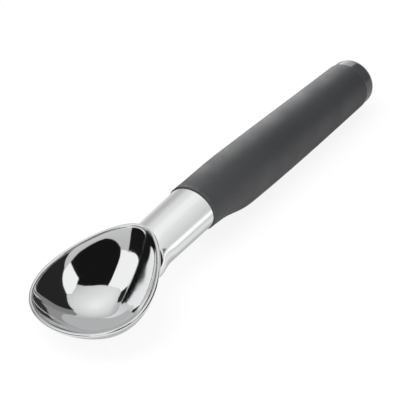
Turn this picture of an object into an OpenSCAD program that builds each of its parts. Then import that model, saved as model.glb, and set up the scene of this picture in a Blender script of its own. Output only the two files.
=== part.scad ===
// Ice cream scoop: a cast metal head with an egg-shaped bowl, an oval neck and a tang,
// pushed into a moulded grip that a domed plug closes at its end.
// It is drawn along the grip's axis, from the seam between neck and grip, and then laid
// down as it lies on a table, on the underside of the bowl and of the grip.

/* [Bowl] */
// Length of the bowl's mouth, inside the lip
mouth_l = 53.4; // [44:0.2:64]
// Width of the bowl's mouth at its widest, inside the lip
mouth_w = 46.4; // [38:0.2:56]
// How far the mouth's widest place leans to its front, 0 is a plain ellipse
egg_lean = 0.32; // [0:0.02:0.4]
// Depth of the bowl below its mouth
bowl_depth = 16; // [11:0.2:22]
// How the bowl's wall falls, 1 is a round section and 2 a parabola
wall_fall = 1.8; // [1.2:0.1:2]
// How far the bowl's deepest place lies in front of its mouth's middle
deep_front = 3; // [0:0.5:9]
// Width of the lip, which is rounded over
lip_w = 1.6; // [1.2:0.1:2.6]
// Thickness of metal under the bowl's deepest place
floor_t = 2.4; // [1.6:0.1:4]
// Pitch of the mouth, nose down, against the grip's axis
mouth_pitch = 18; // [12:0.1:24]
// From the seam to the back edge of the mouth, along the grip's axis
mouth_back = 33.9; // [31:0.1:44]
// Height of the mouth's back edge over the grip's axis
mouth_rise = 9.1; // [7:0.1:11]

/* [Neck] */
// Width of the neck at the seam
neck_w = 20.8; // [17:0.1:22]
// Height of the neck at the seam
neck_h = 19.4; // [16:0.1:21]
// Bend of the neck, nose down, against the grip's axis
neck_bend = 4.5; // [0:0.1:8]
// How much slimmer the neck is where it reaches the bowl, on each side
neck_slim = 0.5; // [0:0.05:1.5]
// How far the neck spreads on each side as it runs into the bowl
shoulder_w = 4.5; // [2:0.1:6]
// From the mouth's back edge to where the spread starts, towards the seam
shoulder_before = 8; // [4:0.5:14]
// From the mouth's back edge to where the spread is full, under the bowl
shoulder_after = 12; // [8:0.5:16]
// From the mouth's back edge to where the neck's top has sunk into the bowl
top_run = 10; // [6:0.5:14]
// How far the neck's underside drops into the bowl's keel
keel_drop = 1.5; // [0:0.1:2]
// Rake of the seam, its top leaning to the bowl
seam_rake = 8; // [0:0.5:12]

/* [Tang] */
// Length of the tang inside the grip
tang_l = 72; // [40:0.5:90]
// Width of the tang at its root
tang_w = 12; // [8:0.1:14]
// Thickness of the tang at its root
tang_t = 7; // [4:0.1:9]
// How much of the root's size the tang keeps at its tip
tang_taper = 0.75; // [0.5:0.05:1]
// Clearance between the tang and its socket, all round
tang_fit = 0.15; // [0.05:0.05:0.4]

/* [Grip] */
// Length of the grip, from the seam to the plug
grip_l = 121.4; // [110:0.2:150]
// Width of the grip where it is fullest
grip_w = 22.6; // [22:0.1:27]
// Width of the grip at the plug
grip_end_w = 21.7; // [19:0.1:24]
// How far the grip's front edge stands proud of the neck
grip_proud = 0.5; // [0:0.05:0.8]
// From the seam to where the grip is at its fullest width
grip_full_at = 27; // [20:0.5:40]
// Depth of the belly under the grip
belly = 3.4; // [0:0.1:6]
// From the seam to the belly's lowest place
belly_at = 33; // [26:0.5:45]
// From the seam to where the belly starts
belly_from = 8; // [4:0.5:12]
// How long the belly stays deep towards the plug, 1 is a straight rise
belly_fade = 2; // [1:0.1:3]
// Radius on the grip's edges at the seam and at the plug
grip_edge = 0.6; // [0.3:0.1:1]

/* [End plug] */
// Length of the plug that stands out of the grip
plug_l = 8.6; // [7:0.1:12]
// How far the plug is set in from the grip's edge
plug_inset = 0.35; // [0.1:0.05:1]
// Radius of the plug's rounded end edge
plug_edge = 3.6; // [2:0.1:3.8]
// Rise of the plug's end face at its middle
plug_crown = 0.8; // [0.4:0.1:1.2]
// Diameter of the spigot that holds the plug in the grip
spigot_d = 13; // [9:0.1:15]
// Length of the spigot
spigot_l = 14; // [8:0.5:18]
// Clearance between the spigot and its socket, all round
spigot_fit = 0.1; // [0.05:0.05:0.3]

/* [Hidden] */
$fn = 72;
// Points round an oval ring and round a ring of the bowl
oval_sides = 40;
mouth_sides = 60;
// Steps from the bowl's lip down to its floor, and round the lip's top
wall_steps = 12;
lip_steps = 4;
neck_steps = 18;
grip_steps = 26;
edge_steps = 3;
// Angle down the bowl's wall of the last ring, and how far the rings crowd at the lip
last_ring = 88;
ring_crowd = 1.2;

// Mouth: an ellipse whose width leans to the front, which is at -X
mouth_half = mouth_w / 2 / max([for (t = [0 : 3 : 180]) sin(t) * (1 + egg_lean * cos(t))]);
outer_depth = bowl_depth + floor_t;

// Neck: it starts at the seam, reaches the bowl's back and ends inside the bowl's floor
neck_end = mouth_back + mouth_l / 2;
shoulder_start = mouth_back - shoulder_before;
shoulder_end = mouth_back + shoulder_after;
// Share of the neck's width and least height of its top where it ends in the bowl's floor
neck_end_w = 0.2;
neck_end_top = 0.5;
// From the seam to where the neck's rings have turned from the seam's rake to its bend
rake_run = 12;

// Share of the tang's half thickness that its edges are rounded by, and a thin slice of it
tang_round = 0.6;
tang_slice = 0.5;
// How far the tang's root reaches into the neck
tang_root = 1;

// Socket depths leave room past the tang's tip and the spigot's end
socket_spare = 1;
plug_r = grip_end_w / 2 - plug_inset;
// Half width of the core that fills the plug's section up to its end face
plug_core = 1;

// Rises smoothly from 0 to 1 as u goes from 0 to 1
function smooth(u) = let (v = min(1, max(0, u))) v * v * (3 - 2 * v);

// Inset of a rounded edge of radius r at distance d from its face
function edge_inset(d, r) = d >= r ? 0 : r - sqrt(r * r - (r - d) * (r - d));

// Side radius of the grip at distance x from the seam
function grip_r(x) =
    let (front = neck_w / 2 + grip_proud, swell = smooth(x / grip_full_at))
    let (full = front + (grip_w / 2 - front) * swell)
    full + (grip_end_w - grip_w) / 2 * smooth((x - belly_at) / (grip_l - belly_at));

// Height of the grip's top over its axis: it follows the neck's lower height at the seam
function grip_top(x) = grip_r(x) - (neck_w - neck_h) / 2 * (1 - smooth(x / belly_at));

// Extra depth of the belly at distance x from the seam
function belly_drop(x) = belly * smooth((x - belly_from) / (belly_at - belly_from))
    * (1 - pow(max(0, x - belly_at) / (grip_l - belly_at), belly_fade));

// Depth of the grip's underside below its axis
function grip_under(x) = grip_top(x) + belly_drop(x);

// Point of the bowl's underside on its middle line, in the grip's frame
function bowl_under(t) =
    let (x = (mouth_l / 2 + lip_w) * cos(t) - mouth_l / 2 - deep_front * (1 - abs(cos(t))))
    let (z = -outer_depth * pow(abs(sin(t)), wall_fall))
    [-mouth_back + x * cos(mouth_pitch) - z * sin(mouth_pitch),
     mouth_rise + x * sin(mouth_pitch) + z * cos(mouth_pitch)];

// The point of a list that lies lowest when the part is turned by the angle a
function turned(p, a) = [p[0] * cos(a) + p[1] * sin(a), p[1] * cos(a) - p[0] * sin(a)];
function lowest(points, a) =
    let (heights = [for (p = points) turned(p, a)[1]])
    points[search(min(heights), heights)[0]];

// Angle at which the bowl and the grip touch the table together
bowl_line = [for (t = [0 : 3 : 180]) bowl_under(t)];
grip_line = [for (x = [0 : 1 : grip_l]) [x, -grip_under(x)]];
function lean_between(p, q) = atan2(q[1] - p[1], q[0] - p[0]);
first_lay = lean_between(lowest(bowl_line, 0), lowest(grip_line, 0));
lay = lean_between(lowest(bowl_line, first_lay), lowest(grip_line, first_lay));
lift = -min(turned(lowest(bowl_line, lay), lay)[1], turned(lowest(grip_line, lay), lay)[1]);
front_x = min([for (p = bowl_line) turned(p, lay)[0]]);
rear_x = turned([grip_l + plug_l, 0], lay)[0];

// Lays what is drawn along the grip's axis down on the table, over the origin
module laid() {
    translate([-(front_x + rear_x) / 2, 0, lift]) rotate([0, lay, 0]) children();
}

// An oval ring of points across the grip's axis, with its own height above and depth below
function oval_ring(x, z, rake, w, top, bottom) = [for (i = [0 : oval_sides - 1])
    let (a = 360 * i / oval_sides, h = (a < 180 ? top : bottom) * sin(a))
    [x - h * sin(rake), w * cos(a), z + h * cos(rake)]];

// A point of the mouth's outline, grown outwards
function mouth_point(t, grow) =
    let (half_l = mouth_l / 2)
    let (dx = half_l * sin(t), dy = mouth_half * (cos(t) + egg_lean * cos(2 * t)))
    [-half_l * cos(t), mouth_half * sin(t) * (1 + egg_lean * cos(t))]
    + grow / norm([dx, dy]) * [-dy, dx];

// A ring of the bowl: the grown mouth shrunk to a share of its size over the deepest place
function mouth_ring(share, grow, z) = [for (i = [0 : mouth_sides - 1])
    let (p = share * mouth_point(360 * i / mouth_sides, grow))
    [p[0] - deep_front * (1 - share), p[1], z]];

// Rings of the bowl's form from its mouth down to its floor, inside or outside
function bowl_rings(grow, depth) = [for (k = [0 : wall_steps])
    let (t = last_ring * pow(k / wall_steps, ring_crowd))
    mouth_ring(cos(t), grow, -depth * pow(sin(t), wall_fall))];

// Rings of the lip's rounded top, above the mouth: its outer side, or the flare inside it
function lip_rings(side) = [for (k = [lip_steps : -1 : 1])
    let (a = 90 * k / lip_steps, r = lip_w / 2) mouth_ring(1, r + side * r * cos(a), r * sin(a))];

// A solid skinned over a list of rings with as many points each, and closed at both ends
module loft(rings) {
    n = len(rings[0]);
    last = len(rings) - 1;
    polyhedron(
        points = [for (ring = rings) each ring],
        faces = concat(
            [[for (k = [0 : n - 1]) k]],
            [[for (k = [n - 1 : -1 : 0]) last * n + k]],
            [for (i = [0 : last - 1], k = [0 : n - 1], half = [0, 1])
                let (a = i * n + k, b = i * n + (k + 1) % n)
                half == 0 ? [a, b + n, b] : [a, a + n, b + n]]
        ));
}

// Places the bowl's own frame, whose origin is the middle of the mouth
module at_mouth() {
    translate([-mouth_back, 0, mouth_rise]) rotate([0, -mouth_pitch, 0])
        translate([-mouth_l / 2, 0, 0]) children();
}

// A ring of the neck, at distance s from the seam
function neck_ring(s) =
    let (spread = smooth((s - shoulder_start) / (shoulder_end - shoulder_start)),
        sink = smooth((s - mouth_back) / (neck_end - mouth_back)),
        slim = neck_slim * min(1, s / mouth_back),
        w = (neck_w / 2 - slim + shoulder_w * spread) * (1 - (1 - neck_end_w) * sink),
        top = (neck_h / 2 - slim) * (1 - smooth((s - mouth_back) / top_run)),
        bottom = neck_h / 2 - slim + keel_drop * sink,
        rake = seam_rake + (neck_bend - seam_rake) * smooth(s / rake_run))
    oval_ring(-s, -s * tan(neck_bend), rake, w, max(neck_end_top, top), bottom);

module neck() {
    loft([for (i = [neck_steps : -1 : 0]) neck_ring(neck_end * i / neck_steps)]);
}

// A flat bar with round edges that tapers to its tip, for the tang and, grown, for its socket
module tang_form(grow, reach) {
    share = 1 - (1 - tang_taper) * reach / tang_l;
    hull() {
        tang_end(-tang_root, tang_w / 2 + grow, tang_t / 2 + grow);
        tang_end(reach, tang_w / 2 * share + grow, tang_t / 2 * share + grow);
    }
}

module tang_end(x, half_w, half_t) {
    r = half_t * tang_round;
    translate([x, 0, 0]) rotate([90, 0, 90]) linear_extrude(tang_slice)
        offset(r = r) square([2 * (half_w - r), 2 * (half_t - r)], center = true);
}

module scoop_head() {
    color([0.82, 0.83, 0.84]) laid() {
        difference() {
            union() {
                at_mouth() loft(concat(lip_rings(1), bowl_rings(lip_w, outer_depth)));
                neck();
            }
            at_mouth() loft(concat(lip_rings(-1), bowl_rings(0, bowl_depth)));
        }
        tang_form(0, tang_l);
    }
}

// A ring of the grip, at distance x from the seam
function grip_ring(x) =
    let (inset = edge_inset(min(x, grip_l - x), grip_edge))
    let (rake = seam_rake * (1 - smooth(x / belly_at)))
    oval_ring(x, 0, rake, grip_r(x) - inset, grip_top(x) - inset, grip_under(x) - inset);

module handle() {
    edge = [for (k = [0 : edge_steps - 1]) grip_edge * (1 - cos(90 * k / edge_steps))];
    run = grip_l - 2 * grip_edge;
    stations = concat(edge, [for (k = [0 : grip_steps]) grip_edge + run * k / grip_steps],
        [for (k = [edge_steps - 1 : -1 : 0]) grip_l - edge[k]]);
    color([0.25, 0.255, 0.26]) laid() difference() {
        loft([for (x = stations) grip_ring(x)]);
        tang_form(tang_fit, tang_l + socket_spare);
        translate([grip_l - spigot_l - socket_spare, 0, 0]) rotate([0, 90, 0])
            cylinder(d = spigot_d + 2 * spigot_fit, h = spigot_l + 2 * socket_spare);
    }
}

// Half section of the plug, turned about the grip's axis
module plug_section() {
    crown_r = (pow(plug_r - plug_edge, 2) + pow(plug_crown, 2)) / (2 * plug_crown);
    square([plug_r, plug_l - plug_crown - plug_edge]);
    intersection() {
        square([plug_r, plug_l]);
        translate([0, plug_l - crown_r]) circle(crown_r);
        hull() {
            square([plug_core, plug_l]);
            translate([plug_r - plug_edge, plug_l - plug_crown - plug_edge]) circle(plug_edge);
        }
    }
}

module end_cap() {
    color([0.27, 0.275, 0.28]) laid() {
        translate([grip_l, 0, 0]) rotate([0, 90, 0]) rotate_extrude() plug_section();
        translate([grip_l - spigot_l, 0, 0]) rotate([0, 90, 0]) cylinder(d = spigot_d, h = spigot_l);
    }
}

scoop_head();
handle();
end_cap();
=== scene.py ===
"""The looks of the ice cream scoop: its polished head, its soft grip, its glossy plug and the studio."""
from math import atan2, cos, pi, radians, sin

import bmesh
import bpy
import numpy as np
from bpy.props import FloatProperty, FloatVectorProperty, PointerProperty
from mathutils import Matrix, Vector


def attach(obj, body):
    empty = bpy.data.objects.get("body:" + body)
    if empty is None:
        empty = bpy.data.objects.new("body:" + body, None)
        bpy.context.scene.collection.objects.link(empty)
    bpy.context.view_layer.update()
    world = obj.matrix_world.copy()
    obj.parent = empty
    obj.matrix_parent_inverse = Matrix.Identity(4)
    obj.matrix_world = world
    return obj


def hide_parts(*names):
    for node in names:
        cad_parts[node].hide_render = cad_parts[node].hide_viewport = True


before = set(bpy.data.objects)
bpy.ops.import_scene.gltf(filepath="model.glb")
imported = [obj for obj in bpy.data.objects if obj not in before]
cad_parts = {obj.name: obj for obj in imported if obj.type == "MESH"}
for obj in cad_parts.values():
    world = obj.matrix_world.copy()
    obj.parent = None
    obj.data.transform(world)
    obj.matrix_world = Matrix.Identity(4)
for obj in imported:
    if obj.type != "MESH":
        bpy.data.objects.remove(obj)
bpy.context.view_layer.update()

bl_info = {
    "name": "Ice Cream Scoop",
    "version": (1, 0, 0),
    "blender": (4, 5, 0),
    "location": "View3D > Sidebar > Scoop",
    "description": "Builds the polished head, the grip, the end plug and the studio of an ice cream scoop",
    "category": "Object",
}

MM = 0.001

# How the part lies on the table: its turn, its lift and its shift from the grip's own frame,
# whose origin is the seam between neck and grip and whose X runs along the grip
LAY_ANGLE = radians(1.9948)
LAY_LIFT = 16.3745 * MM
LAY_SHIFT = -21.7456 * MM
LAID = Matrix.Translation((LAY_SHIFT, 0, LAY_LIFT)) @ Matrix.Rotation(LAY_ANGLE, 4, "Y")


def length(name, default, text):
    """A size in millimetres, as a property in metres."""
    return FloatProperty(name=name, description=text, default=default * MM, min=0, precision=5, unit="LENGTH")


def number(name, default, text):
    """A plain number."""
    return FloatProperty(name=name, description=text, default=default)


def share(name, default, text, top=1.0):
    """A share, from nought to its top."""
    return FloatProperty(name=name, description=text, default=default, min=0, max=top, subtype="FACTOR")


def angle(name, default, text):
    """An angle in degrees, as a property in radians."""
    return FloatProperty(name=name, description=text, default=radians(default), unit="ROTATION",
                         subtype="ANGLE")


def colour(name, default, text):
    """A colour, as its shares of red, green and blue."""
    return FloatVectorProperty(name=name, description=text, default=default, size=3, min=0, max=1,
                               subtype="COLOR")


class ScoopHeadSizes(bpy.types.PropertyGroup):
    """Sizes of the cast head: bowl, lip, neck and tang"""
    mouth_l: length("Mouth length", 53.4, "Length of the bowl's mouth inside the lip")
    mouth_w: length("Mouth width", 46.4, "Width of the bowl's mouth at its widest, inside the lip")
    egg_lean: share("Egg lean", 0.32, "How far the mouth's widest place leans to its front")
    bowl_depth: length("Bowl depth", 16.0, "Depth of the bowl below its mouth")
    wall_fall: number("Wall fall", 1.8, "How the bowl's wall falls: 1 is round and 2 a parabola")
    deep_front: length("Deepest place", 3.0, "How far the deepest place lies in front of the mouth's middle")
    lip_w: length("Lip width", 1.6, "Width of the rounded lip")
    floor_t: length("Floor thickness", 2.4, "Metal under the bowl's deepest place")
    mouth_pitch: angle("Mouth pitch", 18.0, "Pitch of the mouth, nose down, against the grip's axis")
    mouth_back: length("Mouth back", 33.9, "From the seam to the back edge of the mouth")
    mouth_rise: length("Mouth rise", 9.1, "Height of the mouth's back edge over the grip's axis")
    neck_w: length("Neck width", 20.8, "Width of the neck at the seam")
    neck_h: length("Neck height", 19.4, "Height of the neck at the seam")
    neck_bend: angle("Neck bend", 4.5, "Bend of the neck, nose down, against the grip's axis")
    neck_slim: length("Neck slimming", 0.5, "How much slimmer the neck is at the bowl, on each side")
    shoulder_w: length("Shoulder", 4.5, "How far the neck spreads on each side as it runs into the bowl")
    shoulder_before: length("Shoulder start", 8.0, "From the mouth's back edge to where the spread starts")
    shoulder_after: length("Shoulder end", 12.0, "From the mouth's back edge to where the spread is full")
    top_run: length("Top run", 10.0, "From the mouth's back edge to where the neck's top has sunk in")
    keel_drop: length("Keel drop", 1.5, "How far the neck's underside drops into the bowl's keel")
    neck_end_w: share("Neck end width", 0.2, "Share of the neck's width where it ends in the bowl's floor")
    neck_end_top: length("Neck end top", 0.5, "Least height of the neck's top")
    rake_run: length("Rake run", 12.0, "From the seam to where the rings have turned to the neck's bend")
    fillet: length("Fillet", 2.2, "Reach of the soft fillet between neck and bowl")
    tang_l: length("Tang length", 72.0, "Length of the tang inside the grip")
    tang_w: length("Tang width", 12.0, "Width of the tang at its root")
    tang_t: length("Tang thickness", 7.0, "Thickness of the tang at its root")
    tang_taper: share("Tang taper", 0.75, "How much of the root's size the tang keeps at its tip")
    tang_round: share("Tang rounding", 0.6, "Share of the tang's half thickness that rounds its edges")


class ScoopGripSizes(bpy.types.PropertyGroup):
    """Sizes of the moulded grip"""
    seam_rake: angle("Seam rake", 8.0, "Rake of the seam, its top leaning to the bowl")
    grip_l: length("Grip length", 121.4, "From the seam to the plug")
    grip_w: length("Grip width", 22.6, "Width of the grip where it is fullest")
    grip_end_w: length("Grip end width", 21.7, "Width of the grip at the plug")
    grip_proud: length("Grip proud", 0.5, "How far the grip's front edge stands proud of the neck")
    belly: length("Belly", 3.4, "Depth of the belly under the grip")
    belly_at: length("Belly place", 33.0, "From the seam to the belly's lowest place")
    grip_edge: length("Edge radius", 0.6, "Radius on the grip's edges at the seam and at the plug")
    belly_from: length("Belly start", 8.0, "From the seam to where the belly starts")
    belly_fade: share("Belly fade", 2.0, "How long the belly stays deep towards the plug", 4.0)
    grip_full_at: length("Full width place", 27.0, "From the seam to where the grip is at its fullest width")
    socket_spare: length("Socket spare", 1.0, "Room past the tang's tip and the spigot's end")
    tang_fit: length("Tang clearance", 0.15, "Clearance round the tang in its socket")
    spigot_fit: length("Spigot clearance", 0.1, "Clearance round the plug's spigot in its socket")


class ScoopPlugSizes(bpy.types.PropertyGroup):
    """Sizes of the end plug"""
    plug_l: length("Plug length", 8.6, "Length of the plug that stands out of the grip")
    plug_inset: length("Plug inset", 0.35, "How far the plug is set in from the grip's edge")
    plug_edge: length("Edge radius", 3.6, "Radius of the plug's rounded end edge")
    plug_crown: length("Crown", 0.8, "Rise of the plug's end face at its middle")
    spigot_d: length("Spigot diameter", 13.0, "Diameter of the spigot that holds the plug")
    spigot_l: length("Spigot length", 14.0, "Length of the spigot")


class ScoopFinish(bpy.types.PropertyGroup):
    """Colours and finishes"""
    metal: colour("Metal", (0.90, 0.905, 0.91), "Reflection colour of the polished casting")
    metal_rough: share("Metal roughness", 0.035, "Roughness of the polish where it is cleanest")
    grip: colour("Grip", (0.044, 0.045, 0.048), "Colour of the soft grip")
    grip_rough: share("Grip roughness", 0.55, "Roughness of the soft grip")
    plug: colour("Plug", (0.058, 0.060, 0.064), "Colour of the glossy plug")
    plug_rough: share("Plug roughness", 0.16, "Roughness of the glossy plug")


class ScoopStudio(bpy.types.PropertyGroup):
    """Camera, lamps and floor"""
    azimuth: angle("Camera azimuth", -144.449, "Where the camera stands, about the grip's own frame")
    elevation: angle("Camera elevation", 29.806, "Height of the camera over the grip's axis")
    roll: angle("Camera roll", -3.494, "Roll of the camera")
    distance: length("Camera distance", 730.48, "From the camera to the point that it looks at")
    lens: number("Lens", 167.18, "Focal length in millimetres")
    ambient: share("Ambient", 0.5, "Light level of the world on matt surfaces", 4.0)
    key_power: number("Key power", 4.6, "Power of the soft key lamp in watts")
    fill_power: number("Fill power", 1.2, "Power of the fill lamp in watts")
    floor: colour("Floor", (0.85, 0.85, 0.85), "Colour of the floor")
    floor_lift: share("Floor lift", 0.8, "How far the floor is lifted to white where it is seen")


GROUPS = {
    "scoop_head": ScoopHeadSizes,
    "scoop_grip": ScoopGripSizes,
    "scoop_plug": ScoopPlugSizes,
    "scoop_finish": ScoopFinish,
    "scoop_studio": ScoopStudio,
}

# The point that the camera looks at, in the grip's frame, the width of its sensor in millimetres,
# and the nearest and farthest that it sees
AIM = Vector((3.3845, -1.8904, 2.8883)) * MM
CAMERA_SENSOR = 36
CAMERA_CLIP = (0.05, 20)

# Where the lamps stand and how wide they are, and half the floor's size
KEY_PLACE = (-0.25, 0.15, 0.95)
KEY_SIZE = 0.9
FILL_PLACE = (-0.5, -0.7, 0.35)
FILL_SIZE = 0.6
FLOOR_HALF = 3.0
# Glow that lifts the floor to white where it is seen
FLOOR_WHITE = 1.08
# Share of that lift in reflections, so that the metal's underside stands out from the floor
FLOOR_MIRRORED = 0.2

# The studio's flags and cards: they are only seen in reflections, each with its shade and its corners,
# as azimuth and elevation in degrees from the middle of the bowl. Each stands a step nearer to the bowl
# than the one before it, and its edges are cut so many times that it curves
BOWL_EYE = Vector((-84, 0, 10)) * MM
FLAG_DISTANCE = 0.9
FLAG_STEP = 0.01
FLAG_CUTS = 5
FLAGS = {
    "flag_round_the_camera": (0.008, (
        (-105, 21), (-113, 15), (-121, 12.5), (-127, 12), (-133, 13), (-143, 19), (-157, 29), (-160, 38),
        (-156, 51), (-153, 66), (-136, 61), (-120, 56), (-108, 51), (-99, 45), (-106, 40))),
    "card_on_the_left": (0.97, (
        (-104.5, 21), (-97, 25), (-88, 32), (-75, 43), (-69, 47), (-77, 51), (-93, 48), (-99, 45),
        (-106, 40))),
    "card_on_the_right": (0.97, (
        (-160, 31), (-170, 32), (175, 33), (158, 30), (142, 26), (116, 18), (104, 36), (110, 50), (121, 58),
        (150, 66), (180, 69), (-153, 66), (-156, 51), (-160, 38))),
    "flag_by_the_handle": (0.02, (
        (-106, -12), (-106, 2), (-103, 12), (-97, 24), (-88, 32), (-75, 43), (-69, 47), (-55, 50), (-40, 51),
        (-20, 51), (-12, 51), (-12, 46), (-14, 42), (-19, 35), (-26, 29), (-30, 20), (-30, -12), (-50, -12))),
    "grey_card_by_the_handle": (0.22, (
        (-31, -12), (-31, 20), (-27, 29), (-20, 35), (-15, 42), (-13, 46), (-13, 50), (5, 45), (8, 40),
        (8, -12))),
    "flag_behind": (0.009, (
        (-178, 15), (178, 32), (158, 30), (142, 26), (116, 18), (100, 19), (60, 18), (60, -12), (108, -12),
        (150, -12), (180, -12))),
    "small_flag_behind": (0.02, ((112, 53), (106, 36), (96, 35), (86, 38), (86, 48), (98, 54))),
}

# Flags and cards that only show after a second reflection, as light that crosses the bowl meets them:
# the ray's depth there is two or more
SECOND_ONLY = ("Ray Depth", "GREATER_THAN", 1.5)
SECOND_FLAGS = {
    "second_card_behind": (0.97, (
        (142, 18), (141, 24), (140.7, 28), (140.4, 31.5), (138.9, 34.7), (137, 38), (135.4, 41.3),
        (132, 49), (131, 56), (105, 54), (96, 38), (102, 22), (122, 14.5))),
    "second_flag_behind": (0.009, (
        (178, 5), (180, 40), (175, 66), (150, 68), (134, 62), (131.5, 56), (132, 49), (135.4, 41.3),
        (137, 38), (138.9, 34.7), (140.4, 31.5), (140.7, 28), (141, 24), (142, 18), (143, 5))),
    "second_dark_card": (0.035, (
        (-85, 18), (-50, 22), (-20, 29), (-11, 33), (-12, 37), (-20, 37.5), (-30, 40.5), (-44, 41),
        (-50, 39.5), (-56, 38.5), (-70, 39), (-85, 38))),
    "second_grey_card": (0.33, (
        (-76, 39), (-70, 39), (-56, 38.5), (-50, 39.5), (-44, 41), (-30, 40.5), (-20, 37.5), (-12, 37),
        (0, 38), (12, 42), (20, 48), (-10, 49), (-30, 50), (-60, 57), (-75, 50))),
    "second_pale_card": (0.53, (
        (-75, 50), (-60, 57), (-30, 50), (-10, 49), (20, 48), (45, 41), (85, 41), (100, 55), (118, 61),
        (118, 89), (0, 89), (-85, 89), (-85, 60))),
}

# The dome's radius in metres, its faces round and up, and its shades by the height as a share of the radius
DOME_RADIUS = 1.5
DOME_SIDES = 64
DOME_ROWS = 48
DOME_SHADES = ((-1, 0.62), (0.0, 0.62), (0.3, 0.56), (0.6, 0.50), (0.707, 0.52), (0.80, 0.65), (0.866, 0.72),
               (0.934, 0.78), (0.974, 0.84), (1, 0.92))

# The height of the line about which the neck's tent and the grip's card are curved
CARD_AXIS = 18 * MM

# The neck's tent: its radius, its span along the grip, how near a mirroring place has to be to see it,
# its steps round, and its shades by the turn from straight up in degrees
TENT_RADIUS = 60 * MM
TENT_SPAN = (-14 * MM, 45 * MM)
TENT_REACH = 100 * MM
TENT_STEPS = 64
TENT_SHADES = ((-98, 0.74), (-76, 0.56), (-63, 0.49), (-48, 0.57), (-38, 0.70), (-28, 0.77), (-16, 0.82),
               (0, 0.95), (22, 0.93), (36, 0.83), (53, 0.77), (82, 0.67), (91, 0.68))

# The bright curved card over the grip: the same measures, with one shade
GRIP_CARD_RADIUS = 52 * MM
GRIP_CARD_SPAN = (24 * MM, 190 * MM)
GRIP_CARD_REACH = 95 * MM
GRIP_CARD_STEPS = 24
GRIP_CARD_TURN = (-14, -88)
GRIP_CARD_SHADE = 2.8

# The card on the floor beside the neck, seen only in reflections: its span along the grip, its height, and
# its painted shades across, white away from the neck and darker close to and under it as a painted shadow of
# the object
FLOOR_CARD_SPAN = (-66 * MM, 60 * MM)
FLOOR_CARD_Z = 0.3 * MM
FLOOR_CARD_SHADES = ((-400, 1.1), (-47, 1.1), (-41, 0.98), (-37, 0.70), (-31, 0.68), (-24, 0.80),
                     (-17, 0.82), (-13, 0.66), (-10, 0.5), (30, 0.5))

# The turn and the stretch of each lay of hairlines
HAIRLINE_LAYS = (((0.3, 0.2, 0.5), (1, 5, 3)), ((1.1, 0.7, -0.8), (4, 1, 2)), ((-0.6, 1.3, 2.1), (2, 6, 1)))

# Vertices nearer than this are merged, and edges sharper than this stay sharp
MERGE_REACH = 0.001 * MM
SHARP_ANGLE = radians(50)

# Points round the head's rings, and rings along its outside, round its lip and down the inside of its bowl,
# where the last stands this far along the quarter turn from the mouth to the deepest place
HEAD_SIDES = 160
OUTER_RINGS = 120
LIP_RINGS = 28
INNER_RINGS = 56
BOWL_END = radians(89.4)
# How the outer rings crowd towards the lip, and how late their middles move from the neck to the bowl
RING_CROWDING = 1.35
RING_LAG = 3.6
# How far out the outside is looked for, and how often that reach is halved to find it
SEARCH_REACH = 60 * MM
SEARCH_STEPS = 34
# Degrees between the places where the mouth is tried for its width, and bearings at which its lip is known
WIDEST_STEP = 3
LIP_BEARINGS = 720
# Rounds in which the rake at a point of the neck is found
RAKE_ROUNDS = 4
# The fillet's share of its reach at the mouth, the depth over which it grows and wanes, and where it wanes
FILLET_LEAST = 0.2
FILLET_RUN = 6 * MM
FILLET_DEPTH = 8 * MM
# The chamfer at the tang's tip, and the decimals to which a sine or cosine counts as nought on its ring
TANG_CHAMFER = 0.8 * MM
TANG_DECIMALS = 6

# The smooth head is drawn in by these shares along each axis, to stay within the solid's facets
HEAD_TRIM = Vector((0.9999, 0.9985, 0.9994))

# Points round the grip's rings, and rings over each rounded edge and between them
GRIP_SIDES = 112
GRIP_EDGE_RINGS = 8
GRIP_RINGS = 110

# Steps round the plug, the turn in degrees and the points of its rounded edge, and its crown's points and
# their gap from that edge
PLUG_SIDES = 96
PLUG_EDGE_TURN = 84
PLUG_EDGE_POINTS = 15
PLUG_CROWN_GAP = 0.8 * MM
PLUG_CROWN_POINTS = 12


def smooth(u):
    """Rises smoothly from 0 to 1 as u goes from 0 to 1."""
    v = np.clip(u, 0, 1)
    return v * v * (3 - 2 * v)


def lay_on(loop, ring):
    """Moves a loop's vertices onto a ring's points."""
    for vertex, point in zip(loop, ring):
        vertex.co = Vector(point)


def loop_edges(bm, loop):
    """The edges of a closed loop of vertices."""
    return [bm.edges.get(pair) for pair in zip(loop, loop[1:] + loop[:1])]


def skin(bm, rings):
    """Skins a run of closed rings: a circle is drawn, extruded and laid on each, and its ends are capped."""
    first = list(bmesh.ops.create_circle(bm, cap_ends=False, radius=1, segments=len(rings[0]))["verts"])
    lay_on(first, rings[0])
    loop = first
    for ring in rings[1:]:
        made = bmesh.ops.extrude_edge_only(bm, edges=loop_edges(bm, loop))["geom"]
        fresh = {v for v in made if isinstance(v, bmesh.types.BMVert)}
        loop = [next(e.other_vert(v) for e in v.link_edges if e.other_vert(v) in fresh) for v in loop]
        lay_on(loop, ring)
    for end in (first, loop):
        bmesh.ops.contextual_create(bm, geom=loop_edges(bm, end))


def finished(bm, name, material, node):
    """Lays a piece down on the table, merges what meets in it, gives it its finish and body, and hides the
    model's part that it takes the place of.
    """
    bmesh.ops.transform(bm, matrix=LAID, verts=bm.verts)
    bmesh.ops.remove_doubles(bm, verts=bm.verts, dist=MERGE_REACH)
    bmesh.ops.recalc_face_normals(bm, faces=bm.faces)
    for face in bm.faces:
        face.smooth = True
    mesh = bpy.data.meshes.new(name)
    bm.to_mesh(mesh)
    bm.free()
    mesh.set_sharp_from_angle(angle=SHARP_ANGLE)
    mesh.materials.append(material)
    piece = bpy.data.objects.new(name, mesh)
    bpy.context.scene.collection.objects.link(piece)
    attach(piece, "root")
    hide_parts(node)


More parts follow.
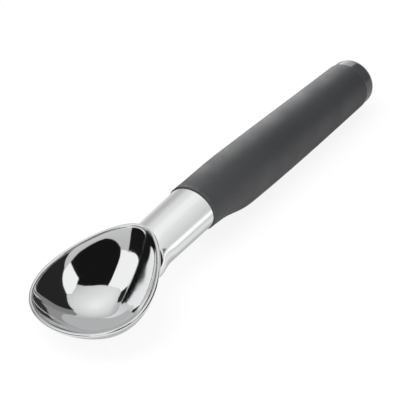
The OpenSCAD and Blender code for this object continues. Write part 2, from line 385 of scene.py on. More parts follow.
def mouth_outline(s, t, grow):
    """Points of the mouth's outline at the angles t, grown outwards, in the mouth's own frame."""
    half_l = s.mouth_l / 2
    around = np.radians(np.arange(0, 181, WIDEST_STEP))
    half_w = s.mouth_w / 2 / np.max(np.sin(around) * (1 + s.egg_lean * np.cos(around)))
    across = np.stack([half_l * np.sin(t), half_w * (np.cos(t) + s.egg_lean * np.cos(2 * t))], 1)
    out = np.stack([-across[:, 1], across[:, 0]], 1) / np.linalg.norm(across, axis=1)[:, None]
    line = np.stack([-half_l * np.cos(t), half_w * np.sin(t) * (1 + s.egg_lean * np.cos(t))], 1)
    return line + grow * out


def from_mouth(s, points):
    """Turns points from the mouth's own frame into the grip's frame."""
    c, d = cos(s.mouth_pitch), sin(s.mouth_pitch)
    x, y, z = points[:, 0] - s.mouth_l / 2, points[:, 1], points[:, 2]
    return np.stack([x * c - z * d - s.mouth_back, y, x * d + z * c + s.mouth_rise], 1)


def to_mouth(s, points):
    """Turns points from the grip's frame into the mouth's own frame."""
    c, d = cos(s.mouth_pitch), sin(s.mouth_pitch)
    x, y, z = points[:, 0] + s.mouth_back, points[:, 1], points[:, 2] - s.mouth_rise
    return np.stack([x * c + z * d + s.mouth_l / 2, y, z * c - x * d], 1)


def mouth_ring(s, t, size, grow, z):
    """A ring of the bowl at a height z over its mouth, of a size against the mouth's and grown outwards."""
    flat = size * mouth_outline(s, t, grow) - [s.deep_front * (1 - size), 0]
    return from_mouth(s, np.column_stack([flat, np.full(len(flat), z)]))


def bowl_field(s, points, table):
    """Distance from the outside of the bowl, about, which is below nought within it."""
    local = to_mouth(s, points)
    depth = s.bowl_depth + s.floor_t
    fall = np.clip(-local[:, 2], 0, None) / depth
    sunk = fall ** (2 / s.wall_fall)
    local[:, 0] += s.deep_front * (1 - np.sqrt(np.clip(1 - sunk, 0, None)))
    reach = np.hypot(local[:, 0], local[:, 1])
    edge = np.interp(np.arctan2(local[:, 1], local[:, 0]), table[0], table[1], period=2 * pi)
    level = (reach / edge) ** 2 + sunk
    return (np.sqrt(level) - 1) * edge * depth / np.hypot(depth, edge * fall)


def neck_field(s, rake_at_seam, points):
    """Distance from the outside of the neck, about, which is below nought within it."""
    along = -points[:, 0]
    neck_end = s.mouth_back + s.mouth_l / 2
    for _ in range(RAKE_ROUNDS):
        rake = rake_at_seam + (s.neck_bend - rake_at_seam) * smooth(along / s.rake_run)
        high = (points[:, 2] + along * np.tan(s.neck_bend)) / np.cos(rake)
        along = -points[:, 0] - high * np.sin(rake)
    spread = smooth((along - s.mouth_back + s.shoulder_before) / (s.shoulder_before + s.shoulder_after))
    sink = smooth((along - s.mouth_back) / (neck_end - s.mouth_back))
    slim = s.neck_slim * np.clip(along / s.mouth_back, 0, 1)
    half_w = (s.neck_w / 2 - slim + s.shoulder_w * spread) * (1 - (1 - s.neck_end_w) * sink)
    top = (s.neck_h / 2 - slim) * (1 - smooth((along - s.mouth_back) / s.top_run))
    under = s.neck_h / 2 - slim + s.keel_drop * sink
    half_h = np.where(high > 0, np.maximum(top, s.neck_end_top), under)
    level = np.hypot(points[:, 1] / half_w, high / half_h)
    return np.maximum((level - 1) * np.minimum(half_w, half_h), along - neck_end)


def head_field(s, rake_at_seam, points, table):
    """Distance from the outside of bowl and neck, about, joined with a soft fillet."""
    bowl = bowl_field(s, points, table)
    neck = neck_field(s, rake_at_seam, points)
    below = -to_mouth(s, points)[:, 2]
    side = smooth(below / FILLET_RUN) * (1 - smooth((below - FILLET_DEPTH) / FILLET_RUN))
    soft = s.fillet * (FILLET_LEAST + (1 - FILLET_LEAST) * side)
    near = np.clip(soft - np.abs(bowl - neck), 0, None) / soft
    return np.minimum(bowl, neck) - near * near * soft / 4


def lip_table(s):
    """The bearings of the lip's outer edge from the mouth's middle, and how far out it lies at each."""
    outline = mouth_outline(s, np.linspace(0, 2 * pi, LIP_BEARINGS + 1)[:-1], s.lip_w)
    bearing = np.arctan2(outline[:, 1], outline[:, 0])
    order = np.argsort(bearing)
    return bearing[order], np.hypot(outline[:, 0], outline[:, 1])[order]


def outer_rings(s, rake_at_seam, t):
    """Rings over the head's outside, from the seam to the lip.

    Each lies in a plane that swings about one line over the neck, from the seam's plane to the mouth's,
    and is found where the head's field is nought.
    """
    table = lip_table(s)
    seam_dir = np.array([-sin(rake_at_seam), cos(rake_at_seam)])
    mouth_dir = np.array([cos(s.mouth_pitch), sin(s.mouth_pitch)])
    back = np.array([-s.mouth_back, s.mouth_rise])
    cross = np.linalg.solve(np.column_stack([seam_dir, -mouth_dir]), back)
    hinge = seam_dir * cross[0]
    seam_reach, mouth_reach = cross[0], cross[1] + s.mouth_l / 2
    seam_turn = atan2(-seam_dir[1], -seam_dir[0]) % (2 * pi)
    mouth_turn = atan2(-mouth_dir[1], -mouth_dir[0]) % (2 * pi)
    outline = mouth_outline(s, t, s.lip_w)
    rim_way = np.unwrap(np.arctan2(outline[:, 1], -outline[:, 0]))
    rings = []
    for k in range(OUTER_RINGS):
        part = 1 - (1 - k / OUTER_RINGS) ** RING_CROWDING
        turn = seam_turn + (mouth_turn - seam_turn) * part
        ray = np.array([cos(turn), 0, sin(turn)])
        reach = seam_reach + (mouth_reach - seam_reach) * part ** RING_LAG
        centre = np.array([hinge[0], 0, hinge[1]]) + ray * reach
        way = rim_way * part + t * (1 - part)
        step = np.outer(np.cos(way), ray) + np.outer(np.sin(way), [0, 1, 0])
        near = np.zeros(len(t))
        far = np.full(len(t), SEARCH_REACH)
        for _ in range(SEARCH_STEPS):
            mid = (near + far) / 2
            inside = head_field(s, rake_at_seam, centre + step * mid[:, None], table) < 0
            near, far = np.where(inside, mid, near), np.where(inside, far, mid)
        rings.append(centre + step * near[:, None])
    rings.append(mouth_ring(s, t, 1, s.lip_w, 0))
    return rings


def tang_ring(s, x, grow, t, rake=0):
    """A ring of the tang at the distance x from the seam, grown outwards: a flat bar with round edges."""
    taper = 1 - (1 - s.tang_taper) * x / s.tang_l
    half_w, half_t = s.tang_w / 2 * taper + grow, s.tang_t / 2 * taper + grow
    r = s.tang_round * half_t
    across = (half_w - r) * np.sign(np.round(np.sin(t), TANG_DECIMALS)) + r * np.sin(t)
    down = (half_t - r) * np.sign(np.round(np.cos(t), TANG_DECIMALS)) + r * np.cos(t)
    return np.stack([x + down * np.tan(rake), across, -down], 1)


def head_mesh(s, grip):
    """The head's closed skin, from the tang's tip over neck and lip into the bowl, drawn in a little."""
    bm = bmesh.new()
    t = np.linspace(0, 2 * pi, HEAD_SIDES, endpoint=False)
    rings = [tang_ring(s, s.tang_l, -TANG_CHAMFER, t), tang_ring(s, s.tang_l - TANG_CHAMFER, 0, t),
             tang_ring(s, 0, 0, t)]
    rings += outer_rings(s, grip.seam_rake, t)
    r = s.lip_w / 2
    for k in range(1, LIP_RINGS + 1):
        a = pi * k / LIP_RINGS
        rings.append(mouth_ring(s, t, 1, r + r * cos(a), r * sin(a)))
    for k in range(1, INNER_RINGS + 1):
        a = BOWL_END * k / INNER_RINGS
        rings.append(mouth_ring(s, t, cos(a), 0, -s.bowl_depth * sin(a) ** s.wall_fall))
    skin(bm, rings)
    bmesh.ops.scale(bm, vec=HEAD_TRIM, verts=bm.verts)
    return bm


def feed(tree, socket, value):
    """Sets an input to a value, or links another node's output to it."""
    if isinstance(value, bpy.types.NodeSocket):
        tree.links.new(value, socket)
    else:
        socket.default_value = value


def put(tree, kind, values=None, **settings):
    """A shader node in a tree, with its settings, and its inputs as values or as other nodes' outputs."""
    node = tree.nodes.new(kind)
    for key, value in settings.items():
        setattr(node, key, value)
    for key, value in (values or {}).items():
        feed(tree, node.inputs[key], value)
    return node


def reckon(tree, operation, *values):
    """The result of a Math node on values and other nodes' outputs."""
    return put(tree, "ShaderNodeMath", dict(enumerate(values)), operation=operation).outputs[0]


def effect_group(name, numbers, result):
    """A node group, still empty, that gives one result for a place and some numbers, and what it takes in."""
    tree = bpy.data.node_groups.new(name, "ShaderNodeTree")
    tree.interface.new_socket("Vector", in_out="INPUT", socket_type="NodeSocketVector")
    for label, value in numbers.items():
        tree.interface.new_socket(label, in_out="INPUT", socket_type="NodeSocketFloat").default_value = value
    tree.interface.new_socket(result, in_out="OUTPUT", socket_type="NodeSocketFloat")
    return tree, put(tree, "NodeGroupInput").outputs


def slow_drift(name):
    """Effect: a value that drifts slowly over the surface between two ends."""
    tree, start = effect_group(name, {"Scale": 50.0, "Low": 0.0, "High": 1.0}, "Value")
    noise = put(tree, "ShaderNodeTexNoise", {
        "Vector": start["Vector"], "Scale": start["Scale"], "Detail": 3.0, "Roughness": 0.55})
    spread = put(tree, "ShaderNodeMapRange", {
        "Value": noise.outputs["Fac"], "From Min": 0.32, "From Max": 0.68,
        "To Min": start["Low"], "To Max": start["High"]}, interpolation_type="SMOOTHSTEP")
    put(tree, "NodeGroupOutput", {"Value": spread.outputs["Result"]})
    return tree


def hairlines(name):
    """Effect: fine stray lines, as wiping and use leave them on a gloss, as a mask."""
    tree, start = effect_group(name, {"Scale": 60.0, "Width": 0.006, "Thinning": 0.5}, "Mask")
    lines = 0.0
    for turn, stretch in HAIRLINE_LAYS:
        lay = put(tree, "ShaderNodeMapping", {"Vector": start["Vector"], "Rotation": turn, "Scale": stretch})
        noise = put(tree, "ShaderNodeTexNoise", {
            "Vector": lay.outputs["Vector"], "Scale": start["Scale"], "Detail": 0.5})
        away = reckon(tree, "ABSOLUTE", reckon(tree, "SUBTRACT", noise.outputs["Fac"], 0.5))
        line = put(tree, "ShaderNodeMapRange", {
            "Value": away, "From Min": 0.0, "From Max": start["Width"], "To Min": 1.0, "To Max": 0.0})
        lines = reckon(tree, "MAXIMUM", lines, line.outputs["Result"])
    gaps = put(tree, "ShaderNodeTexNoise", {
        "Vector": start["Vector"], "Scale": start["Scale"], "Detail": 2.0})
    kept = put(tree, "ShaderNodeMapRange", {
        "Value": gaps.outputs["Fac"], "From Min": start["Thinning"], "From Max": 0.7},
        interpolation_type="SMOOTHSTEP")
    put(tree, "NodeGroupOutput", {"Mask": reckon(tree, "MULTIPLY", lines, kept.outputs["Result"])})
    return tree


def fine_grain(name):
    """Effect: the height of a moulded or cast surface's fine grain."""
    tree, start = effect_group(name, {"Scale": 1500.0, "Pits": 0.5}, "Height")
    where = {"Vector": start["Vector"], "Scale": start["Scale"]}
    noise = put(tree, "ShaderNodeTexNoise", {**where, "Detail": 2.0})
    cells = put(tree, "ShaderNodeTexVoronoi", where, feature="SMOOTH_F1")
    mixed = put(tree, "ShaderNodeMix", {
        "Factor": start["Pits"], "A": noise.outputs["Fac"], "B": cells.outputs["Distance"]},
        data_type="FLOAT")
    put(tree, "NodeGroupOutput", {"Height": mixed.outputs["Result"]})
    return tree


def edge_rub(name):
    """Effect: a mask of the wear along the edges of a piece at two places on the grip's axis."""
    tree, start = effect_group(name, {"Front": 0.0, "Rear": 0.1, "Reach": 0.001, "Scale": 400.0}, "Mask")
    place = put(tree, "ShaderNodeSeparateXYZ", {"Vector": start["Vector"]})
    near = 0.0
    for edge in ("Front", "Rear"):
        away = reckon(tree, "ABSOLUTE", reckon(tree, "SUBTRACT", place.outputs["X"], start[edge]))
        band = put(tree, "ShaderNodeMapRange", {
            "Value": away, "From Max": start["Reach"], "To Min": 1.0, "To Max": 0.0},
            interpolation_type="SMOOTHSTEP")
        near = reckon(tree, "MAXIMUM", near, band.outputs["Result"])
    noise = put(tree, "ShaderNodeTexNoise", {
        "Vector": start["Vector"], "Scale": start["Scale"], "Detail": 4.0, "Roughness": 0.65})
    patchy = put(tree, "ShaderNodeMapRange", {
        "Value": noise.outputs["Fac"], "From Min": 0.38, "From Max": 0.62})
    put(tree, "NodeGroupOutput", {"Mask": reckon(tree, "MULTIPLY", near, patchy.outputs["Result"])})
    return tree


def effect(tree, build, place, values):
    """The result of an effect, placed in a material with its own values. Its group is built only once."""
    group = bpy.data.node_groups.get(build.__name__) or build(build.__name__)
    return put(tree, "ShaderNodeGroup", {"Vector": place, **values}, node_tree=group).outputs[0]


def piece_material(name):
    """A material with its Principled shader and the surface's place in the grip's own frame."""
    made = bpy.data.materials.new(name)
    made.use_nodes = True
    tree = made.node_tree
    back = LAID.inverted()
    turned = put(tree, "ShaderNodeMapping", {
        "Vector": put(tree, "ShaderNodeTexCoord").outputs["Object"],
        "Location": back.translation, "Rotation": back.to_euler()})
    return made, tree, tree.nodes["Principled BSDF"], turned.outputs["Vector"]


def tone(tree, mask, plain, other):
    """A colour that goes from one to the other with a mask; the first may be another node's output."""
    mixed = put(tree, "ShaderNodeMix", {"Factor": mask}, data_type="RGBA")
    for label, value in (("A", plain), ("B", other)):
        socket = next(i for i in mixed.inputs if i.name == label and i.type == "RGBA")
        feed(tree, socket, value if isinstance(value, bpy.types.NodeSocket) else (*value, 1))
    return next(o for o in mixed.outputs if o.type == "RGBA")


def scaled(shade, factor):
    """A colour made lighter or darker by a factor."""
    return [part * factor for part in shade]


def summed(tree, first, second, weight):
    """The first value with a share of the second."""
    return reckon(tree, "MULTIPLY_ADD", second, weight, first)


def lead_in(tree, shader, base, rough, height, strength, depth):
    """Leads a colour, a roughness and a height, with its strength and depth, into a shader."""
    bump = put(tree, "ShaderNodeBump", {"Height": height, "Strength": strength, "Distance": depth})
    for label, value in (("Base Color", base), ("Roughness", rough), ("Normal", bump.outputs["Normal"])):
        feed(tree, shader.inputs[label], value)


def metal_material(look):
    """Polished zinc casting: a clean mirror with polishing haze, fine stray lines and a faint swell."""
    made, tree, shader, place = piece_material("polished_casting")
    shader.inputs["Metallic"].default_value = 1
    haze = effect(tree, slow_drift, place, {
        "Scale": 70.0, "Low": look.metal_rough, "High": look.metal_rough * 1.8})
    lines = effect(tree, hairlines, place, {"Scale": 45.0, "Width": 0.004, "Thinning": 0.45})
    drift = effect(tree, slow_drift, place, {"Scale": 25.0})
    swell = effect(tree, fine_grain, place, {"Scale": 130.0, "Pits": 0.0})
    base = tone(tree, drift, look.metal, scaled(look.metal, 0.965))
    rough = summed(tree, haze, lines, weight=0.07)
    lead_in(tree, shader, base, rough, swell, strength=0.12, depth=0.05 * MM)
    return made


def grip_material(look, grip):
    """Soft-touch grip: matt, finely grained, with a slow change of tone and rubbed edges."""
    made, tree, shader, place = piece_material("soft_grip")
    drift = effect(tree, slow_drift, place, {"Scale": 40.0})
    rub = effect(tree, edge_rub, place, {
        "Front": 0.0, "Rear": grip.grip_l, "Reach": 1.1 * MM, "Scale": 420.0})
    patches = effect(tree, slow_drift, place, {
        "Scale": 90.0, "Low": look.grip_rough - 0.04, "High": look.grip_rough + 0.04})
    grain = effect(tree, fine_grain, place, {"Scale": 2200.0, "Pits": 0.35})
    base = tone(tree, drift, look.grip, scaled(look.grip, 1.12))
    base = tone(tree, rub, base, scaled(look.grip, 2.0))
    rough = summed(tree, patches, rub, weight=-0.18)
    lead_in(tree, shader, base, rough, grain, strength=0.35, depth=0.06 * MM)
    return made


def plug_material(look, grip, plug):
    """Glossy moulded plug: stray lines and haze in its gloss, and a rubbed edge."""
    made, tree, shader, place = piece_material("glossy_plug")
    haze = effect(tree, slow_drift, place, {
        "Scale": 120.0, "Low": look.plug_rough, "High": look.plug_rough + 0.07})
    lines = effect(tree, hairlines, place, {"Scale": 90.0, "Width": 0.005, "Thinning": 0.5})
    rub = effect(tree, edge_rub, place, {
        "Front": grip.grip_l, "Rear": grip.grip_l + plug.plug_l - plug.plug_edge,
        "Reach": 0.8 * MM, "Scale": 500.0})
    grain = effect(tree, fine_grain, place, {"Scale": 700.0, "Pits": 0.0})
    base = tone(tree, rub, look.plug, scaled(look.plug, 1.5))
    rough = summed(tree, haze, lines, weight=0.18)
    lead_in(tree, shader, base, rough, grain, strength=0.06, depth=0.03 * MM)
    return made


def grip_radius(s, neck_w, x):
    """Side radius of the grip at the distance x from the seam."""
    front = neck_w / 2 + s.grip_proud
    full = front + (s.grip_w / 2 - front) * smooth(x / s.grip_full_at)
    return full + (s.grip_end_w - s.grip_w) / 2 * smooth((x - s.belly_at) / (s.grip_l - s.belly_at))


def grip_ring(s, head, x, inset):
    """A ring of the grip: an oval with its own height above and depth below, raked at the seam."""
    radius = grip_radius(s, head.neck_w, x)
    top = radius - (head.neck_w - head.neck_h) / 2 * (1 - smooth(x / s.belly_at))
    drop = s.belly * smooth((x - s.belly_from) / (s.belly_at - s.belly_from))
    drop = drop * (1 - max(0, (x - s.belly_at) / (s.grip_l - s.belly_at)) ** s.belly_fade)
    rake = s.seam_rake * (1 - smooth(x / s.belly_at))
    a = np.linspace(0, 2 * pi, GRIP_SIDES, endpoint=False)
    high = np.where(a < pi, top - inset, top + drop - inset) * np.sin(a)
    return np.stack([x - high * np.sin(rake), (radius - inset) * np.cos(a), high * np.cos(rake)], 1)


def grip_mesh(s, head, plug):
    """The grip's closed skin, from the tang's socket over its outside into the plug's socket."""
    bm = bmesh.new()
    turns = [radians(90) * k / GRIP_EDGE_RINGS for k in range(GRIP_EDGE_RINGS)]
    front = [(s.grip_edge * (1 - cos(a)), s.grip_edge * (1 - sin(a))) for a in turns]
    run = s.grip_l - 2 * s.grip_edge
    middle = [(s.grip_edge + run * k / GRIP_RINGS, 0) for k in range(GRIP_RINGS + 1)]
    rear = [(s.grip_l - x, inset) for x, inset in reversed(front)]
    rings = [grip_ring(s, head, x, inset) for x, inset in front + middle + rear]
    around = np.linspace(0, 2 * pi, GRIP_SIDES, endpoint=False)
    socket = [tang_ring(head, head.tang_l + s.socket_spare, s.tang_fit, around + pi / 2),
              tang_ring(head, 0, s.tang_fit, around + pi / 2, s.seam_rake)]
    bore = plug.spigot_d / 2 + s.spigot_fit
    round_ring = np.stack([0 * around, bore * np.cos(around), bore * np.sin(around)], 1)
    well = [round_ring + [s.grip_l, 0, 0], round_ring + [s.grip_l - plug.spigot_l - s.socket_spare, 0, 0]]
    skin(bm, socket + rings + well)
    return bm


def plug_mesh(s, grip):
    """The plug, spun from its half section: spigot, band, rounded edge and crowned end."""
    bm = bmesh.new()
    radius = grip.grip_end_w / 2 - s.plug_inset
    flat = radius - s.plug_edge
    corner = Vector((flat, s.plug_l - s.plug_crown - s.plug_edge))
    crown_r = (flat ** 2 + s.plug_crown ** 2) / (2 * s.plug_crown)
    turns = np.radians(np.linspace(0, PLUG_EDGE_TURN, PLUG_EDGE_POINTS))
    edge = [corner + s.plug_edge * Vector((cos(a), sin(a))) for a in turns]
    crown = [Vector((x, s.plug_l - crown_r + (crown_r ** 2 - x ** 2) ** 0.5))
             for x in np.linspace(flat - PLUG_CROWN_GAP, 0, PLUG_CROWN_POINTS)]
    section = [Vector((0, -s.spigot_l)), Vector((s.spigot_d / 2, -s.spigot_l)), Vector((s.spigot_d / 2, 0)),
               Vector((radius, 0))] + edge + crown
    verts = [bm.verts.new((grip.grip_l + p.y, p.x, 0)) for p in section]
    edges = [bm.edges.new(pair) for pair in zip(verts, verts[1:])]
    bmesh.ops.spin(bm, geom=verts + edges, cent=(0, 0, 0), axis=(1, 0, 0), angle=2 * pi, steps=PLUG_SIDES,
                   use_merge=True, dvec=(0, 0, 0))
    return bm


def make_camera(scene, s):
    """The camera, which looks at the object from over the bowl's side."""
    back = Vector((cos(s.azimuth) * cos(s.elevation), sin(s.azimuth) * cos(s.elevation), sin(s.elevation)))
    right = Vector((0, 0, 1)).cross(back).normalized()
    up = back.cross(right)
    turned_right = right * cos(s.roll) + up * sin(s.roll)
    turned_up = up * cos(s.roll) - right * sin(s.roll)
    place = Matrix((turned_right, turned_up, back)).transposed().to_4x4()
    place.translation = AIM + back * s.distance
    data = bpy.data.cameras.new("camera")
    data.lens = s.lens
    data.sensor_width = CAMERA_SENSOR
    data.clip_start, data.clip_end = CAMERA_CLIP
    camera = bpy.data.objects.new("camera", data)
    camera.matrix_world = LAID @ place
    scene.collection.objects.link(camera)
    scene.camera = camera


def seen_directly(tree, mirrored=1.0):
    """1 where the camera or glass sees a surface, its mirrored share in a reflection, and 0 elsewhere."""
    path = put(tree, "ShaderNodeLightPath").outputs
    mirror = reckon(tree, "MULTIPLY", path["Is Glossy Ray"], mirrored)
    either = reckon(tree, "MAXIMUM", path["Is Camera Ray"], mirror)
    return reckon(tree, "MAXIMUM", either, path["Is Transmission Ray"])


def make_world(scene, s):
    """The world: white where the camera or a reflection sees it, and a plain level of light elsewhere."""
    world = bpy.data.worlds.new("studio")
    world.use_nodes = True
    scene.world = world
    tree = world.node_tree
    level = put(tree, "ShaderNodeMapRange", {
        "Value": seen_directly(tree), "To Min": s.ambient, "To Max": 1.0})
    background = tree.nodes["Background"]
    feed(tree, background.inputs["Color"], (1, 1, 1, 1))
    feed(tree, background.inputs["Strength"], level.outputs["Result"])


def stage_object(scene, name, bm, material):
    """A piece of the stage, which isn't part of the object."""
    mesh = bpy.data.meshes.new(name)
    bm.to_mesh(mesh)
    bm.free()
    mesh.materials.append(material)
    made = bpy.data.objects.new(name, mesh)
    scene.collection.objects.link(made)
    return made


def stage_material(name):
    """A material of the stage, whose tree is still empty."""
    made = bpy.data.materials.new(name)
    made.use_nodes = True
    made.node_tree.nodes.clear()
    return made, made.node_tree


def make_floor(scene, s):
    """The pale floor: it takes the object's shadow, and is lifted to white where it is seen."""
    made, tree = stage_material("pale_floor")
    paper = put(tree, "ShaderNodeBsdfDiffuse", {"Color": (*s.floor, 1)})
    lift = put(tree, "ShaderNodeEmission", {"Strength": FLOOR_WHITE})
    lifted = reckon(tree, "MULTIPLY", seen_directly(tree, FLOOR_MIRRORED), s.floor_lift)
    mixed = put(tree, "ShaderNodeMixShader", {0: lifted, 1: paper.outputs[0], 2: lift.outputs[0]})
    put(tree, "ShaderNodeOutputMaterial", {"Surface": mixed.outputs[0]})
    bm = bmesh.new()
    bmesh.ops.create_grid(bm, x_segments=1, y_segments=1, size=FLOOR_HALF)
    stage_object(scene, "floor", bm, made)


def make_lamp(scene, name, place, size, power):
    """A soft lamp that looks at the object and isn't itself mirrored in it."""
    data = bpy.data.lights.new(name, "AREA")
    data.shape = "DISK"
    data.size = size
    data.energy = power
    lamp = bpy.data.objects.new(name, data)
    lamp.matrix_world = Matrix.Translation(place) @ Vector(place).to_track_quat("Z", "Y").to_matrix().to_4x4()
    lamp.visible_glossy = False
    scene.collection.objects.link(lamp)


def ramp_of(tree, value, stops, unit):
    """A ramp of shades over a value, each stop being its place in the unit and its shade."""
    low, high = stops[0][0], stops[-1][0]
    spread = put(tree, "ShaderNodeMapRange", {
        "Value": value, "From Min": low * unit, "From Max": high * unit})
    ramp = put(tree, "ShaderNodeValToRGB", {"Fac": spread.outputs["Result"]})
    line = ramp.color_ramp
    while len(line.elements) < len(stops):
        line.elements.new(0.5)
    for element, (at, shade) in zip(line.elements, stops):
        element.position = (at - low) / (high - low)
        element.color = (shade, shade, shade, 1)
    return ramp.outputs["Color"]


def card_material(name, shade, test=None):
    """A card's material, which glows at one shade or at what a function gives for the place on the card.

    A test is a measure of the light's path, a comparison and its limit. To a ray that fails it the card
    is clear.
    """
    made, tree = stage_material(name)
    made.cycles.emission_sampling = "NONE"
    if callable(shade):
        place = put(tree, "ShaderNodeTexCoord").outputs["Object"]
        tint = shade(tree, put(tree, "ShaderNodeSeparateXYZ", {"Vector": place}).outputs)
    else:
        tint = (shade, shade, shade, 1)
    surface = put(tree, "ShaderNodeEmission", {"Color": tint, "Strength": 1.0}).outputs[0]
    if test:
        measure, comparison, limit = test
        passed = reckon(tree, comparison, put(tree, "ShaderNodeLightPath").outputs[measure], limit)
        clear = put(tree, "ShaderNodeBsdfTransparent").outputs[0]
        surface = put(tree, "ShaderNodeMixShader", {0: passed, 1: clear, 2: surface}).outputs[0]
    put(tree, "ShaderNodeOutputMaterial", {"Surface": surface})
    return made


def make_card(scene, name, bm, material):
    """A card that the metal and the gloss mirror, and that neither shows, lights nor shades otherwise."""
    card = stage_object(scene, name, bm, material)
    card.visible_camera = False
    card.visible_diffuse = False
    card.visible_shadow = False
    card.visible_transmission = False


def dome_shade(tree, place):
    """The dome's shade, by the height on it."""
    return ramp_of(tree, place["Z"], DOME_SHADES, DOME_RADIUS)


def make_dome(scene):
    """The studio's dome of pale cloth, brightest overhead."""
    bm = bmesh.new()
    bmesh.ops.create_uvsphere(bm, u_segments=DOME_SIDES, v_segments=DOME_ROWS, radius=DOME_RADIUS)
    make_card(scene, "dome", bm, card_material("dome_cloth", dome_shade))


def tent_shade(tree, place):
    """The neck tent's shade, by the turn about the neck from straight up."""
    high = reckon(tree, "SUBTRACT", place["Z"], CARD_AXIS)
    turn = reckon(tree, "ARCTAN2", reckon(tree, "MULTIPLY", place["Y"], -1.0), high)
    return ramp_of(tree, turn, TENT_SHADES, radians(1))


def curved_card(scene, name, material, radius, span, turn, steps):
    """A card curved about the cards' axis, over its span along the grip and its turn from straight up."""
    start, end = radians(turn[0]), radians(turn[1])
    bm = bmesh.new()
    ends = [bm.verts.new((x, -radius * sin(start), CARD_AXIS + radius * cos(start))) for x in span]
    edge = bm.edges.new(ends)
    bmesh.ops.spin(bm, geom=[*ends, edge], cent=(0, 0, CARD_AXIS), axis=(1, 0, 0), angle=end - start,
                   steps=steps)
    make_card(scene, name, bm, material)


def make_tent(scene):
    """A small tent of pale cloth round the neck, open below, which gives the neck its long soft shades.

    Only what is nearer than its reach mirrors it, so that the bowl is clear of it.
    """
    cloth = card_material("tent_cloth", tent_shade, ("Ray Length", "LESS_THAN", TENT_REACH))
    turn = (TENT_SHADES[0][0], TENT_SHADES[-1][0])
    curved_card(scene, "neck_tent", cloth, TENT_RADIUS, TENT_SPAN, turn, TENT_STEPS)


def make_grip_card(scene):
    """A bright curved card over the grip, which gives the grip's far side its soft highlight."""
    paper = card_material("grip_card_paper", GRIP_CARD_SHADE, ("Ray Length", "LESS_THAN", GRIP_CARD_REACH))
    curved_card(scene, "grip_card", paper, GRIP_CARD_RADIUS, GRIP_CARD_SPAN, GRIP_CARD_TURN, GRIP_CARD_STEPS)


def floor_card_shade(tree, place):
    """The floor card's painted shade, across the grip."""
    return ramp_of(tree, place["Y"], FLOOR_CARD_SHADES, MM)


def make_floor_card(scene):
    """A glowing card on the floor beside the neck, whose painted shades run along the neck's lower side in
    its reflections, darker close to and under the neck as a painted shadow.
    """
    front, rear = FLOOR_CARD_SPAN
    near, far = FLOOR_CARD_SHADES[0][0] * MM, FLOOR_CARD_SHADES[-1][0] * MM
    bm = bmesh.new()
    corners = [bm.verts.new((x, y, FLOOR_CARD_Z))
               for x, y in ((front, near), (rear, near), (rear, far), (front, far))]
    bmesh.ops.contextual_create(bm, geom=corners)
    # The card glows at painted shades: white away from the neck, and a painted shadow under it
    make_card(scene, "floor_card", bm, card_material("floor_card_painted_shade", floor_card_shade))


def make_flag(scene, name, shade, distance, corners, test):
    """A flag or card curved round the bowl, its corners given by azimuth and elevation as the bowl sees them.

    From one corner to the next it takes the shorter way round.
    """
    bm = bmesh.new()
    last = corners[0][0]
    outline = []
    for azimuth, elevation in corners:
        last += (azimuth - last + 180) % 360 - 180
        outline.append(bm.verts.new((radians(last), radians(elevation), 0.0)))
    bm.faces.new(outline)
    bmesh.ops.triangulate(bm, faces=bm.faces)
    bmesh.ops.subdivide_edges(bm, edges=bm.edges, cuts=FLAG_CUTS, use_grid_fill=True)
    for vert in bm.verts:
        a, e = vert.co.xy
        vert.co = BOWL_EYE + distance * Vector((cos(a) * cos(e), sin(a) * cos(e), sin(e)))
    make_card(scene, name, bm, card_material(name, shade, test))


class SCOOP_OT_head(bpy.types.Operator):
    """Build the polished head"""
    bl_idname = "scoop.head"
    bl_label = "Polished Head"

    def execute(self, context):
        scene = context.scene
        finished(head_mesh(scene.scoop_head, scene.scoop_grip), "polished_head",
                 metal_material(scene.scoop_finish), "scoop_head")
        return {"FINISHED"}


class SCOOP_OT_grip(bpy.types.Operator):
    """Build the soft grip"""
    bl_idname = "scoop.grip"
    bl_label = "Soft Grip"

    def execute(self, context):
        scene = context.scene
        finished(grip_mesh(scene.scoop_grip, scene.scoop_head, scene.scoop_plug), "soft_handle",
                 grip_material(scene.scoop_finish, scene.scoop_grip), "handle")
        return {"FINISHED"}


class SCOOP_OT_plug(bpy.types.Operator):
    """Build the glossy end plug"""
    bl_idname = "scoop.plug"
    bl_label = "End Plug"

    def execute(self, context):
        scene = context.scene
        finished(plug_mesh(scene.scoop_plug, scene.scoop_grip), "glossy_plug",
                 plug_material(scene.scoop_finish, scene.scoop_grip, scene.scoop_plug),
                 "end_cap")
        return {"FINISHED"}


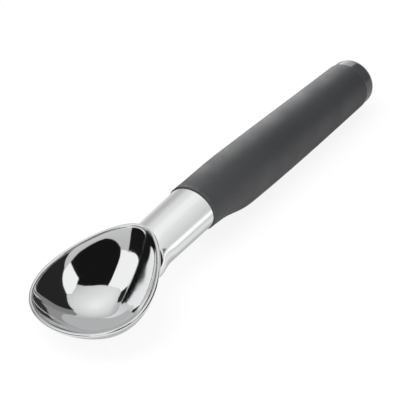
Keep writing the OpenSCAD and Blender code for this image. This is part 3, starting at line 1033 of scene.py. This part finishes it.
class SCOOP_OT_studio(bpy.types.Operator):
    """Set up the floor, the lamps, the background, the cards and the camera"""
    bl_idname = "scoop.studio"
    bl_label = "Studio"

    def execute(self, context):
        scene = context.scene
        studio = scene.scoop_studio
        make_camera(scene, studio)
        make_world(scene, studio)
        make_floor(scene, studio)
        make_lamp(scene, "key", KEY_PLACE, KEY_SIZE, studio.key_power)
        make_lamp(scene, "fill", FILL_PLACE, FILL_SIZE, studio.fill_power)
        make_dome(scene)
        make_tent(scene)
        make_floor_card(scene)
        make_grip_card(scene)
        for step, (name, (shade, corners)) in enumerate((FLAGS | SECOND_FLAGS).items()):
            test = SECOND_ONLY if name in SECOND_FLAGS else None
            make_flag(scene, name, shade, FLAG_DISTANCE - step * FLAG_STEP, corners, test)
        return {"FINISHED"}


class SCOOP_PT_panel(bpy.types.Panel):
    """The scoop's panel in the sidebar"""
    bl_label = "Ice Cream Scoop"
    bl_idname = "SCOOP_PT_panel"
    bl_space_type = "VIEW_3D"
    bl_region_type = "UI"
    bl_category = "Scoop"

    def draw(self, context):
        for name, group in GROUPS.items():
            box = self.layout.box()
            box.label(text=group.__doc__)
            for prop in group.__annotations__:
                box.prop(getattr(context.scene, name), prop)
        for operator in OPERATORS:
            self.layout.operator(operator.bl_idname)


OPERATORS = (SCOOP_OT_head, SCOOP_OT_grip, SCOOP_OT_plug, SCOOP_OT_studio)
CLASSES = (*GROUPS.values(), *OPERATORS, SCOOP_PT_panel)


def register():
    """Registers the classes and hangs the sizes and finishes on the scene."""
    for item in CLASSES:
        bpy.utils.register_class(item)
    for name, group in GROUPS.items():
        setattr(bpy.types.Scene, name, PointerProperty(type=group))


def unregister():
    """Takes the sizes and finishes off the scene and the classes out again."""
    for name in GROUPS:
        delattr(bpy.types.Scene, name)
    for item in reversed(CLASSES):
        bpy.utils.unregister_class(item)


def main():
    """Builds the pieces and the studio."""
    register()
    scene = bpy.context.scene
    scene.view_settings.view_transform = "Standard"
    bpy.ops.scoop.head()
    bpy.ops.scoop.grip()
    bpy.ops.scoop.plug()
    bpy.ops.scoop.studio()


if __name__ == "__main__":
    main()
